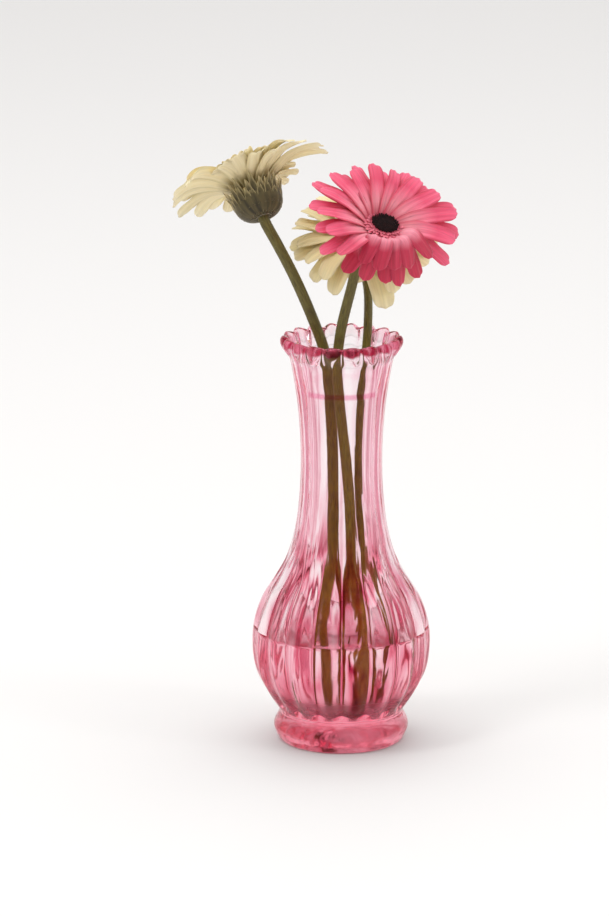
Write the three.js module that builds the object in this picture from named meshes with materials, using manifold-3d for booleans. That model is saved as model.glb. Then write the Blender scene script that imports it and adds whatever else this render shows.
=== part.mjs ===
// Three cut gerberas, one pink and two cream, standing in water in a fluted pink glass bud vase.
// Millimetres, +Z up. The origin is the middle of the flat underside of the vase's foot.
// The front of the arrangement, where the pink bloom looks, is -Y.
import * as THREE from 'three';
import { mergeVertices } from 'three/addons/utils/BufferGeometryUtils.js';
import Module from 'manifold-3d';

const wasm = await Module();
wasm.setup();

// Vase
const FLUTES = 18;               // convex lobes round the vase, each ending as a scallop of the rim
const STEPS_PER_FLUTE = 4;
const FOOT_FLAT_RADIUS = 35.6;
const WAIST_Z = 18.5;            // the groove between the solid foot and the bulb
const BULB_FLUTE_DEPTH = 2.3;
const NECK_FLUTE_DEPTH = 0.6;
const RIM_FLUTE_DEPTH = 3.2;
const RIM_Z = 249.6;             // top of the scallops
const RIM_DIP = 1.6;             // how far the rim drops between two scallops
const INSIDE_STEP_Z = 218;       // small ring on the inside of the neck
const FLOOR_Z = 24;              // inside floor, over the solid foot
const FLOOR_RADIUS = 25;

// Outside of the lobes' crests: [radius, height]
const OUTSIDE = [
  [FOOT_FLAT_RADIUS, 0], [38.6, 3], [40.7, 8.7], [37.4, WAIST_Z], [39.8, 22.2], [46, 31.6],
  [51.6, 43.6], [53.7, 60], [52.4, 74.5], [47.4, 89], [33.4, 112.8], [28.8, 127], [25.6, 148],
  [24.4, 176], [26.2, 206], [30.1, 229], [34, 241], [36.7, 245.8],
];
const LIP = [[36.9, 247.6], [35.6, RIM_Z], [33.2, 248.9]];
const INSIDE = [
  [31.6, 244.6], [28.6, 232.6], [25.4, INSIDE_STEP_Z + 1.6], [24.7, INSIDE_STEP_Z - 0.6], [22.4, 185],
  [22.7, 155], [25.7, 133], [31, 112], [42.2, 91], [48, 73], [48.6, 57], [46, 43.5],
  [39.6, 32], [FLOOR_RADIUS, FLOOR_Z],
];

// Water
const WATER_Z = 69;
const GAP = 0.3;                 // clearance between a piece and the one that it rests on or stands in
const STEM_SIDES = 8;
const STEM_STATIONS = 19;

// A bloom, in its own frame: +Z is the way it faces, and its rays start at z = 0
const RECEPTACLE_RADIUS = 9.4;
const RECEPTACLE_BOTTOM = -3.6;
const RAYS_PER_LAYER = 17;
const COLLAR_FLORETS = 22;       // short florets that stand out round the eye
const COLLAR_RADIUS = 13;
const COLLAR_NOTCH = 3.4;        // how far the collar is cut in between two florets
const COLLAR_UNDERSIDE = 4.4;
const COLLAR_TOP = 7;
const EYE_RADIUS = 6.6;
const EYE_SEAT = 5;              // height of the dish that the eye sits in
const CALYX_TOP = RECEPTACLE_BOTTOM - GAP;
const BRACTS_PER_ROW = 11;
const RAY_THICKNESS = 1.0;

const BLOOMS = [
  {
    name: 'pink',
    centre: [21.6, -32.4, 320.5],
    facing: [0.27, -0.63, 0.73],
    rays: 0xdb4a68,
    eye: 0x1a0804,
    stalk: 0x5a4c1c,
    layers: [
      { length: 38.4, width: 10.6, rootZ: 0.2, rise: 38, fall: -12 },
      { length: 35.7, width: 10, rootZ: 1.8, rise: 46, fall: -4 },
    ],
    bend: 0.7,
    hang: 47,
    stretch: { azimuth: -115, share: -0.09 },
    sag: { azimuth: -60, fall: 0 },
    bands: [{ azimuth: 90, halfSpan: 48, length: 0.9, fall: 0 }],
    calyx: {
      bowl: [[3.6, -22.4], [8.6, -18.6], [12.2, -12], [13.6, -6], [12.6, CALYX_TOP]],
      base: -22,
      bracts: [
        { rootR: 3.4, rootZ: -21.6, length: 19, rise: 46, fall: 72 },
        { rootR: 9, rootZ: -15.6, length: 15.5, rise: 66, fall: 36 },
      ],
    },
    stemRadius: 3.2,
    stem: [[4.6, -10, FLOOR_Z], [5.9, -9.5, 70], [6.2, -9, 105], [5.2, -9, 140], [2.6, -9.5, 175],
      [-1.2, -10.5, 210], [-2.8, -12, 232], [-0.9, -14, 254], [4.6, -15.2, 278], [9.6, -17.6, 296]],
    seed: 11,
  },
  {
    name: 'cream_left',
    centre: [-52, 9.5, 335],
    facing: [-0.31, 0.5455, 0.774],
    rays: 0xd6c094,
    eye: 0x3b2a16,
    stalk: 0x54481e,
    layers: [
      { length: 45.3, width: 10.6, rootZ: 0.2, rise: 46, fall: -30 },
      { length: 41.6, width: 10, rootZ: 2.2, rise: 53, fall: -35 },
    ],
    bend: 1.3,
    hang: 0,
    stretch: { azimuth: 180, share: 0.045 },
    sag: { azimuth: 180, fall: -16 },
    bands: [
      { azimuth: -113, halfSpan: 15, length: 0.68, fall: 14 },
      { azimuth: -71, halfSpan: 28, length: 0.68, fall: 20 },
      { azimuth: 0, halfSpan: 16, length: 1.1, fall: 2 },
      { azimuth: 34, halfSpan: 20, length: 0.7, fall: 16 },
      { azimuth: 90, halfSpan: 36, length: 0.74, fall: 2 },
      { azimuth: 160, halfSpan: 34, length: 1, fall: 12 },
    ],
    calyx: {
      bowl: [[3.8, -17.4], [9.4, -14.6], [13, -9], [14.8, -2], [15, 1.6], [13.4, 1.8], [12.4, CALYX_TOP]],
      base: -17,
      bracts: [
        { rootR: 4, rootZ: -16.4, length: 22, rise: 36, fall: 84 },
        { rootR: 11.4, rootZ: -10.6, length: 19, rise: 70, fall: 44 },
      ],
    },
    stemRadius: 3.4,
    stem: [[-7, 6, FLOOR_Z], [-5.1, 5.5, 70], [-4.9, 5, 110], [-4.9, 4.5, 150], [-5.6, 3.5, 185],
      [-7.6, 1, 216], [-10.4, -1, 240], [-17.6, -3, 261], [-28.2, -4.4, 286], [-38.4, -4, 306]],
    seed: 5,
  },
  {
    name: 'cream_back',
    centre: [12.4, 22, 304.8],
    facing: [-0.05, -0.47, 0.88],
    rays: 0xd2b888,
    eye: 0x3b2a16,
    stalk: 0x54481e,
    layers: [
      { length: 38, width: 11, rootZ: 0.2, rise: 6, fall: -20 },
      { length: 35, width: 10.2, rootZ: 1.8, rise: 15, fall: -8 },
    ],
    bend: 1.3,
    hang: 40,
    stretch: { azimuth: 0, share: 0.05 },
    sag: { azimuth: -90, fall: 0 },
    bands: [
      { azimuth: -97, halfSpan: 17, length: 0.76, fall: 0 },
      { azimuth: -67, halfSpan: 13, length: 1.24, fall: -34 },
      { azimuth: -128, halfSpan: 12, length: 1.05, fall: -16 },
    ],
    calyx: {
      bowl: [[3.6, -22.4], [8.6, -18.6], [12.2, -12], [13.6, -6], [12.6, CALYX_TOP]],
      base: -22,
      bracts: [
        { rootR: 3.4, rootZ: -21.6, length: 19, rise: 46, fall: 72 },
        { rootR: 9, rootZ: -15.6, length: 15.5, rise: 66, fall: 36 },
      ],
    },
    stemRadius: 2.7,
    stem: [[19.8, 9.5, FLOOR_Z], [20.6, 10, 66], [17.6, 9.5, 92], [13, 9, 120], [10.6, 9, 155],
      [11, 10, 190], [13, 12.4, 222], [15.6, 17.6, 248], [15.8, 26.5, 271]],
    seed: 29,
  },
];

const rad = THREE.MathUtils.degToRad;
const lerp = THREE.MathUtils.lerp;
const smoothstep = THREE.MathUtils.smoothstep;

// The turn in degrees from one azimuth to another, between -180 and 180.
function angleBetween(azimuth, other) {
  return THREE.MathUtils.euclideanModulo(azimuth - other + 180, 360) - 180;
}

// A repeatable random draw between -1 and 1.
function seededDraw(seed) {
  let state = seed;
  return () => {
    state = (state * 1664525 + 1013904223) % 4294967296;
    return state / 2147483648 - 1;
  };
}

function toSolid(geometry) {
  const bare = geometry.clone();
  bare.deleteAttribute('normal');
  bare.deleteAttribute('uv');
  const merged = mergeVertices(bare, 1e-5);
  return new wasm.Manifold(new wasm.Mesh({
    numProp: 3,
    vertProperties: new Float32Array(merged.attributes.position.array),
    triVerts: new Uint32Array(merged.index.array),
  }));
}

function toGeometry(solid) {
  const mesh = solid.getMesh();
  const geometry = new THREE.BufferGeometry();
  geometry.setAttribute('position', new THREE.BufferAttribute(new Float32Array(mesh.vertProperties), 3));
  geometry.setIndex(new THREE.BufferAttribute(new Uint32Array(mesh.triVerts), 1));
  geometry.computeVertexNormals();
  return geometry;
}

function fuse(geometries) {
  return geometries.map(toSolid).reduce((whole, next) => whole.add(next));
}

// A closed skin over rings of equal point count, wound anticlockwise seen from the last ring's end.
// A first or last ring of one point is a tip, and any other end gets a flat cap.
function skin(rings) {
  const points = [];
  const faces = [];
  const starts = rings.map((ring) => {
    const start = points.length;
    points.push(...ring);
    return start;
  });
  for (let i = 0; i + 1 < rings.length; i += 1) {
    const [low, high] = [rings[i], rings[i + 1]];
    const [a, b] = [starts[i], starts[i + 1]];
    const count = Math.max(low.length, high.length);
    for (let j = 0; j < count; j += 1) {
      const k = (j + 1) % count;
      if (low.length === 1) {
        faces.push(a, b + k, b + j);
      } else if (high.length === 1) {
        faces.push(a + j, a + k, b);
      } else {
        faces.push(a + j, a + k, b + j, a + k, b + k, b + j);
      }
    }
  }
  for (let j = 1; j + 1 < rings[0].length; j += 1) {
    faces.push(starts[0], starts[0] + j + 1, starts[0] + j);
  }
  const last = rings.length - 1;
  for (let j = 1; j + 1 < rings[last].length; j += 1) {
    faces.push(starts[last], starts[last] + j, starts[last] + j + 1);
  }
  const geometry = new THREE.BufferGeometry();
  geometry.setAttribute('position', new THREE.Float32BufferAttribute(points.flatMap((p) => p.toArray()), 3));
  geometry.setIndex(faces);
  return geometry;
}

// Depth of the valleys between the lobes at a height on the outside.
function fluteDepth(z) {
  const bulb = BULB_FLUTE_DEPTH * smoothstep(z, WAIST_Z, WAIST_Z + 9);
  const neck = lerp(bulb, NECK_FLUTE_DEPTH, smoothstep(z, 85, 130));
  return lerp(neck, RIM_FLUTE_DEPTH, smoothstep(z, 205, 242));
}

// One ring of the vase. The lobes are full at their crests and meet in a sharp valley.
function vaseRing([radius, z], depth, dip, stepsPerFlute = STEPS_PER_FLUTE) {
  const count = FLUTES * stepsPerFlute;
  return Array.from({ length: count }, (_, i) => {
    const angle = (i / count) * 2 * Math.PI;
    const lobe = Math.abs(Math.cos((FLUTES / 2) * angle));
    const r = radius - depth * (1 - lobe);
    return new THREE.Vector3(r * Math.cos(angle), r * Math.sin(angle), z - dip * (1 - lobe));
  });
}

// Depth of the valleys on the inside. The neck's wall follows the lobes, and the bulb is round inside.
function insideFluteDepth(z) {
  return 0.95 * fluteDepth(z) * smoothstep(z, 100, 125);
}

function rimDip(z) {
  return RIM_DIP * smoothstep(z, 232, RIM_Z);
}

function makeVase() {
  const rings = [[new THREE.Vector3(0, 0, 0)]];
  for (const point of OUTSIDE) {
    rings.push(vaseRing(point, fluteDepth(point[1]), rimDip(point[1])));
  }
  for (const point of LIP) {
    rings.push(vaseRing(point, RIM_FLUTE_DEPTH, RIM_DIP));
  }
  for (const point of INSIDE) {
    rings.push(vaseRing(point, insideFluteDepth(point[1]), rimDip(point[1])));
  }
  rings.push([new THREE.Vector3(0, 0, FLOOR_Z)]);
  return skin(rings);
}

// A round tube along a curve, with its radius given at each end.
function tube(curve, startRadius, endRadius, stations) {
  const frames = curve.computeFrenetFrames(stations, false);
  const rings = [];
  for (let i = 0; i <= stations; i += 1) {
    const middle = curve.getPointAt(i / stations);
    const radius = lerp(startRadius, endRadius, i / stations);
    rings.push(Array.from({ length: STEM_SIDES }, (_, j) => {
      const angle = (j / STEM_SIDES) * 2 * Math.PI;
      return middle.clone()
        .addScaledVector(frames.normals[i], radius * Math.cos(angle))
        .addScaledVector(frames.binormals[i], radius * Math.sin(angle));
    }));
  }
  return skin(rings);
}

// The way a bloom's own frame sits in the arrangement.
function placeOf(bloom) {
  const facing = new THREE.Vector3(...bloom.facing).normalize();
  const turn = new THREE.Quaternion().setFromUnitVectors(new THREE.Vector3(0, 0, 1), facing);
  return new THREE.Matrix4().compose(new THREE.Vector3(...bloom.centre), turn, new THREE.Vector3(1, 1, 1));
}

// Middle line of a stem from below the floor's level, where it is cut square, into its calyx.
function stemCurve(bloom, extraBelow = 0) {
  const points = bloom.stem.map((p) => new THREE.Vector3(...p));
  points[0].z += GAP;
  const place = placeOf(bloom);
  points.push(new THREE.Vector3(0, 0, bloom.calyx.base - 4).applyMatrix4(place));
  points.push(new THREE.Vector3(0, 0, bloom.calyx.base + 4).applyMatrix4(place));
  if (extraBelow > 0) {
    const down = points[0].clone().sub(points[1]).normalize();
    points.unshift(points[0].clone().addScaledVector(down, extraBelow));
  }
  return new THREE.CatmullRomCurve3(points, false, 'centripetal');
}

function makeWater() {
  const rings = [[new THREE.Vector3(0, 0, FLOOR_Z + GAP)]];
  const below = INSIDE.filter(([, z]) => z < WATER_Z).reverse();
  const top = INSIDE.findLast(([, z]) => z > WATER_Z);
  const next = below[below.length - 1];
  const share = (WATER_Z - next[1]) / (top[1] - next[1]);
  const outline = below.map(([r, z]) => [r - GAP, z + GAP]);
  outline.push([lerp(next[0], top[0], share) - GAP, WATER_Z]);
  for (const point of outline) {
    rings.push(vaseRing(point, 0, 0, 2));
  }
  rings.push([new THREE.Vector3(0, 0, WATER_Z)]);
  let water = toSolid(skin(rings));
  for (const bloom of BLOOMS) {
    const hole = tube(stemCurve(bloom, 6), bloom.stemRadius + GAP, bloom.stemRadius + GAP, 28);
    water = water.subtract(toSolid(hole));
  }
  return toGeometry(water);
}

// Half the width of a ray along its length: a narrow claw, widest past the middle, a round tip.
function rayWidth(s) {
  const claw = lerp(0.23, 1, smoothstep(s, 0, 0.7));
  const tip = Math.sqrt(Math.max(0, 1 - Math.pow(Math.max(0, (s - 0.72) / 0.28), 2.2)));
  return 0.5 * claw * tip;
}

// A blade that starts at rootR from the bloom's axis and runs outwards. Its slope goes from rise to
// fall, early where bend is low, and its section is a lens, with the edges lifted by cup.
function blade({
  rootR, rootZ, length, width, thickness, rise, fall, bend = 1.3, cup, twist, azimuth, stations,
}) {
  const rings = [];
  const middle = new THREE.Vector3(rootR, 0, rootZ);
  const ends = [0, ...stations, 1];
  for (let i = 0; i < ends.length; i += 1) {
    const s = ends[i];
    if (i > 0) {
      const halfway = (ends[i - 1] + s) / 2;
      const slope = rad(lerp(rise, fall, Math.pow(halfway, bend)));
      const step = length * (s - ends[i - 1]);
      middle.x += step * Math.cos(slope);
      middle.z += step * Math.sin(slope);
    }
    if (s === 1) {
      rings.push([middle.clone()]);
      continue;
    }
    const slope = rad(lerp(rise, fall, Math.pow(s, bend)));
    const up = new THREE.Vector3(-Math.sin(slope), 0, Math.cos(slope));
    const side = new THREE.Vector3(0, 1, 0);
    const roll = rad(twist) * s;
    const across = side.clone().multiplyScalar(Math.cos(roll)).addScaledVector(up, Math.sin(roll));
    const over = up.clone().multiplyScalar(Math.cos(roll)).addScaledVector(side, -Math.sin(roll));
    const half = width * rayWidth(s);
    const lift = cup * half;
    rings.push([
      middle.clone().addScaledVector(across, half).addScaledVector(over, lift),
      middle.clone().addScaledVector(over, thickness / 2),
      middle.clone().addScaledVector(across, -half).addScaledVector(over, lift),
      middle.clone().addScaledVector(over, -thickness / 2),
    ]);
  }
  return skin(rings).applyMatrix4(new THREE.Matrix4().makeRotationZ(rad(azimuth)));
}

// Rays in two layers. A ray that points down the slope of its bloom hangs further.
function makeRays(bloom) {
  const draw = seededDraw(bloom.seed);
  const place = placeOf(bloom);
  const origin = new THREE.Vector3().applyMatrix4(place);
  const pieces = [];
  bloom.layers.forEach((layer, level) => {
    for (let i = 0; i < RAYS_PER_LAYER; i += 1) {
      const azimuth = (360 / RAYS_PER_LAYER) * (i + 0.5 + 0.5 * level) + 1.8 * draw();
      const tip = new THREE.Vector3(Math.cos(rad(azimuth)), Math.sin(rad(azimuth)), 0).applyMatrix4(place);
      const downhill = Math.max(0, -(tip.z - origin.z));
      const sag = bloom.sag.fall * Math.max(0, Math.cos(rad(azimuth - bloom.sag.azimuth)));
      const stretch = 1 + bloom.stretch.share * Math.cos(rad(azimuth - bloom.stretch.azimuth));
      const band = bloom.bands.find((one) => Math.abs(angleBetween(azimuth, one.azimuth)) < one.halfSpan);
      pieces.push(blade({
        rootR: RECEPTACLE_RADIUS - 2,
        rootZ: layer.rootZ,
        length: layer.length * stretch * (1 + 0.045 * draw()) * (band ? band.length : 1),
        width: layer.width * (1 + 0.05 * draw()),
        thickness: RAY_THICKNESS,
        rise: layer.rise + 2.5 * draw(),
        fall: layer.fall - bloom.hang * downhill + sag + 5 * draw() + (band ? band.fall : 0),
        bend: bloom.bend,
        cup: 0.1,
        twist: 9 * draw(),
        azimuth,
        stations: [0.3, 0.66, 0.93],
      }));
    }
  });
  return pieces;
}

// A ring of alternating tips and notches, one tip for each floret.
function starRing(tipRadius, notchRadius, tipZ, notchZ) {
  const count = COLLAR_FLORETS * 2;
  return Array.from({ length: count }, (_, i) => {
    const angle = (i / count) * 2 * Math.PI;
    const radius = i % 2 === 0 ? tipRadius : notchRadius;
    return new THREE.Vector3(radius * Math.cos(angle), radius * Math.sin(angle), i % 2 === 0 ? tipZ : notchZ);
  });
}

// Short florets that spread from under the eye's edge, with the dish for the eye inside them.
function makeCollar() {
  const neck = RECEPTACLE_RADIUS - 0.8;
  const notch = COLLAR_RADIUS - COLLAR_NOTCH;
  const dish = EYE_RADIUS + GAP;
  return skin([
    starRing(neck, neck, COLLAR_UNDERSIDE - 0.8, COLLAR_UNDERSIDE - 0.8),
    starRing(COLLAR_RADIUS, notch, COLLAR_TOP - 1.5, COLLAR_UNDERSIDE + 0.4),
    starRing(COLLAR_RADIUS - 0.6, notch, COLLAR_TOP - 0.5, COLLAR_TOP - 1.6),
    starRing(dish + 1, dish + 0.5, COLLAR_TOP, COLLAR_TOP - 0.9),
    starRing(dish, dish, EYE_SEAT, EYE_SEAT),
  ]);
}

// The short pillar that the rays grow from, with a side for each ray of a layer.
function makeReceptacle() {
  const height = COLLAR_UNDERSIDE + 0.3 - RECEPTACLE_BOTTOM;
  return new THREE.CylinderGeometry(RECEPTACLE_RADIUS, RECEPTACLE_RADIUS, height, RAYS_PER_LAYER)
    .rotateX(Math.PI / 2)
    .rotateZ(Math.PI / 2)
    .translate(0, 0, RECEPTACLE_BOTTOM + height / 2);
}

function makeBloom(bloom) {
  const solid = fuse([makeReceptacle(), makeCollar(), ...makeRays(bloom)]);
  return toGeometry(solid).applyMatrix4(placeOf(bloom));
}

// The eye: small florets packed in rings on a low dome, raised by a formula.
function makeEye(bloom) {
  const rings = [];
  const seat = EYE_SEAT + GAP;
  const circle = (radius, z, bumps, height) => Array.from({ length: 20 }, (_, i) => {
    const angle = (i / 20) * 2 * Math.PI;
    const bump = i % 2 === bumps ? height : 0;
    return new THREE.Vector3(radius * Math.cos(angle), radius * Math.sin(angle), z + bump);
  });
  rings.push(circle(EYE_RADIUS, seat, 0, 0));
  rings.push(circle(EYE_RADIUS, seat + 0.6, 0, 0.8));
  rings.push(circle(EYE_RADIUS * 0.7, seat + 0.8, 1, 0.7));
  rings.push(circle(EYE_RADIUS * 0.38, seat + 0.7, 0, 0.6));
  rings.push([new THREE.Vector3(0, 0, seat + 0.9)]);
  return skin(rings).applyMatrix4(placeOf(bloom));
}

// The calyx: a bowl with two rows of narrow bracts that lie along it and point at the rays.
function makeCalyx(bloom) {
  const draw = seededDraw(bloom.seed + 200);
  const { bowl, base, bracts } = bloom.calyx;
  const outline = [[0, base - 1], ...bowl, [0, CALYX_TOP]].map(([r, z]) => new THREE.Vector2(r, z));
  const pieces = [
    new THREE.LatheGeometry(outline, BRACTS_PER_ROW)
      .rotateX(Math.PI / 2)
      .rotateZ(Math.PI / BRACTS_PER_ROW),
  ];
  bracts.forEach((row, level) => {
    for (let i = 0; i < BRACTS_PER_ROW; i += 1) {
      pieces.push(blade({
        rootR: row.rootR,
        rootZ: row.rootZ,
        length: row.length + 1.2 * draw(),
        width: 5,
        thickness: 1.6,
        rise: row.rise,
        fall: row.fall + 3 * draw(),
        cup: 0,
        twist: 0,
        azimuth: (360 / BRACTS_PER_ROW) * (i + 0.5 * level) + 2 * draw(),
        stations: [0.6],
      }));
    }
  });
  return pieces.map((piece) => piece.applyMatrix4(placeOf(bloom)));
}

function makeStem(bloom) {
  const stalk = tube(stemCurve(bloom), bloom.stemRadius, bloom.stemRadius * 0.94, STEM_STATIONS);
  return toGeometry(fuse([stalk, ...makeCalyx(bloom)]));
}

const arrangement = new THREE.Group();

function addPiece(name, geometry, color, roughness, extra = {}) {
  const material = new THREE.MeshStandardMaterial({ color, roughness, metalness: 0, ...extra });
  const mesh = new THREE.Mesh(geometry, material);
  mesh.name = name;
  arrangement.add(mesh);
}

addPiece('vase', makeVase(), 0xf2a3b4, 0.05, { transparent: true, opacity: 0.45 });
addPiece('water', makeWater(), 0xf3dfe2, 0.02, { transparent: true, opacity: 0.3 });
for (const bloom of BLOOMS) {
  addPiece(`stem_${bloom.name}`, makeStem(bloom), bloom.stalk, 0.6);
  addPiece(`bloom_${bloom.name}`, makeBloom(bloom), bloom.rays, 0.55);
  addPiece(`eye_${bloom.name}`, makeEye(bloom), bloom.eye, 0.9);
}

export default arrangement;
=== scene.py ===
"""Looks of three gerberas in a fluted pink glass vase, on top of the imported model.

Lengths are written in mm and angles in degrees. A bloom has its own frame, in which +Z is the way
it faces. A ray is one of its long petals.
"""
import math

import bpy
import numpy as np
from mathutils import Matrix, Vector


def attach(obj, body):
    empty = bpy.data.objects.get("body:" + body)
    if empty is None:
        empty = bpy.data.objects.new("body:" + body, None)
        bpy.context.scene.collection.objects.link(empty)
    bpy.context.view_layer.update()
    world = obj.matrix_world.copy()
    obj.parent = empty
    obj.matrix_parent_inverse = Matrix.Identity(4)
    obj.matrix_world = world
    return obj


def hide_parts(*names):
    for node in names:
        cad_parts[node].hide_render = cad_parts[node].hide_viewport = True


MM = 0.001

# Vase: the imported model's outline and flutes
FLUTES = 18
STEPS_PER_FLUTE = 14
WAIST_Z = 18.5
BULB_FLUTE_DEPTH = 2.3
NECK_FLUTE_DEPTH = 0.5
RIM_FLUTE_DEPTH = 3.2
BULB_FLUTES_START = (WAIST_Z, WAIST_Z + 9)
BULB_FLUTES_FADE = (85, 130)
INSIDE_FLUTES_START = (100, 125)
NECK_SOFT_FROM, NECK_SOFT_TO = (105, 150), (225, 240)
NECK_CALM_FROM, NECK_CALM_TO = (105, 135), (222, 236)
RIM_FLARE = (231, 246)
RIM_Z = 249.6
RIM_DIP = 1.6
RIM_DIP_START = 232
NECK_RING_M = 0.2175
FOOT_FLAT_RADIUS = 35.6
FLOOR_Z = 24
OUTSIDE = [
    (38.6, 3), (40.7, 8.7), (37.4, 18.5), (39.8, 22.2), (46, 31.6), (51.6, 43.6), (53.7, 60),
    (52.4, 74.5), (47.4, 89), (40, 101), (33.4, 112.8), (28.8, 127), (25.6, 148), (24.4, 176),
    (26.2, 206), (29.7, 229), (31.4, 236.4), (33.6, 239.4), (35.9, 242.6), (36.8, 245.8),
]
LIP = [(36.5, 248), (35.0, RIM_Z), (33.0, 248.9)]
ABOVE_WATER = (48, 73)
INSIDE = [
    (31.6, 244.6), (28.6, 232.6), (25.4, 219.6), (24.7, 217.4), (22.4, 185), (22.7, 155),
    (25.7, 133), (31, 112), (42.2, 91), ABOVE_WATER, (48.6, 57), (46, 43.5), (39.6, 32),
    (25, FLOOR_Z),
]
FOOT_EDGE = [(FOOT_FLAT_RADIUS, 0), (37.4, 0.7)]
UNDERSIDE = [(1, 6), (14, 5.4), (24, 3.8), (30, 1.6), (33, 0.3), (34.4, 0)]
OUTSIDE_RINGS, INSIDE_RINGS, UNDERSIDE_RINGS = 190, 140, 30

# Water: it overlaps the glass a little, and it rises round each stem
WATER_Z = 69
WATER_OVERLAP = 0.15
WATER_SIDES = 144
WATER_RISE = 0.6
WATER_RISE_REACH = 1.1

# Blooms
GAP = 0.3
RECEPTACLE_RADIUS = 9.4
RAYS_PER_LAYER = 17
EYE_RADIUS = 6.6
EYE_SEAT = 5
EYE_FLORETS = 210
GOLDEN_ANGLE = 137.508
COLLAR_FLORETS = 36
BRACTS_PER_ROW = 21
CALYX_TOP = -3.9
HAIRS_PER_STALK = 1500
HAIR_HALF_WIDTH = 0.05

# What each kind of piece adds to its bloom's seed
COLLAR_SEED, EYE_SEED, CALYX_SEED, HAIR_SEED = 50, 90, 200, 300

# Rows, columns and thickness of a blade, then the shapes of the blades
RAY_SHEET = (34, 15, 0.45)
FLORET_SHEET = (9, 5, 0.3)
BRACT_SHEET = (16, 7, 0.5)
BLADE_STEPS = 60
RAY_SHAPE = {
    "root_r": RECEPTACLE_RADIUS - 2, "tilt": 9, "groove": 0.34, "wave": 0.8, "curl": 1.2, "sway": 1.2,
    "notch": 0.012, "claw": 0.72, "widest": 0.4, "taper": 0.14, "shoulder": 0.83, "bluntness": 2.3,
}
RAY_JITTER = {"azimuth": 1.8, "length": 0.045, "width": 0.05, "rise": 2.5, "fall": 5, "twist": 14}
FOLD_SLOPES = (0.22, 0.55)
FOLD_AT = (0.32, 0.45)
FLORET_SHAPE = {"cup": 0.2, "shoulder": 0.5, "bluntness": 1.5, "sway": 0.4}
COLLAR_RINGS = [
    {"root_r": 8.2, "root_z": 4.0, "length": 8.0, "rise": 14, "fall": 4, "width": 2.5},
    {"root_r": 8.2, "root_z": 4.4, "length": 5.6, "rise": 20, "fall": 6, "width": 2.1},
    {"root_r": 8.0, "root_z": 4.7, "length": 3.4, "rise": 34, "fall": 12, "width": 1.7},
]
BRACT_SHAPE = {
    "width": 4.4, "cup": -0.15, "claw": 1.0, "shoulder": 0.25, "bluntness": 1.3, "sway": 0.5,
}
NO_BAND = (0, 0, 1, 0)

LONG_CALYX = {
    "bowl": [(3.6, -22.4), (8.6, -18.6), (12.2, -12), (13.6, -6), (12.6, CALYX_TOP)],
    "base": -22,
    "bracts": [
        {"root_r": 3.4, "root_z": -21.6, "length": 19, "rise": 46, "fall": 72},
        {"root_r": 9, "root_z": -15.6, "length": 15.5, "rise": 66, "fall": 36},
    ],
}
SHALLOW_CALYX = {
    "bowl": [(4, -17.8), (10.6, -15.8), (14.2, -11.2), (14.9, -7.4), (14.2, -3.8), (12, -0.8)],
    "base": -17,
    "bracts": [
        {"root_r": 4.4, "root_z": -17.6, "length": 14, "rise": 12, "fall": 92},
        {"root_r": 12.4, "root_z": -13.6, "length": 16, "rise": 66, "fall": 90},
        {"root_r": 13.3, "root_z": -12, "length": 19, "rise": 80, "fall": 62},
    ],
}
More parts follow.
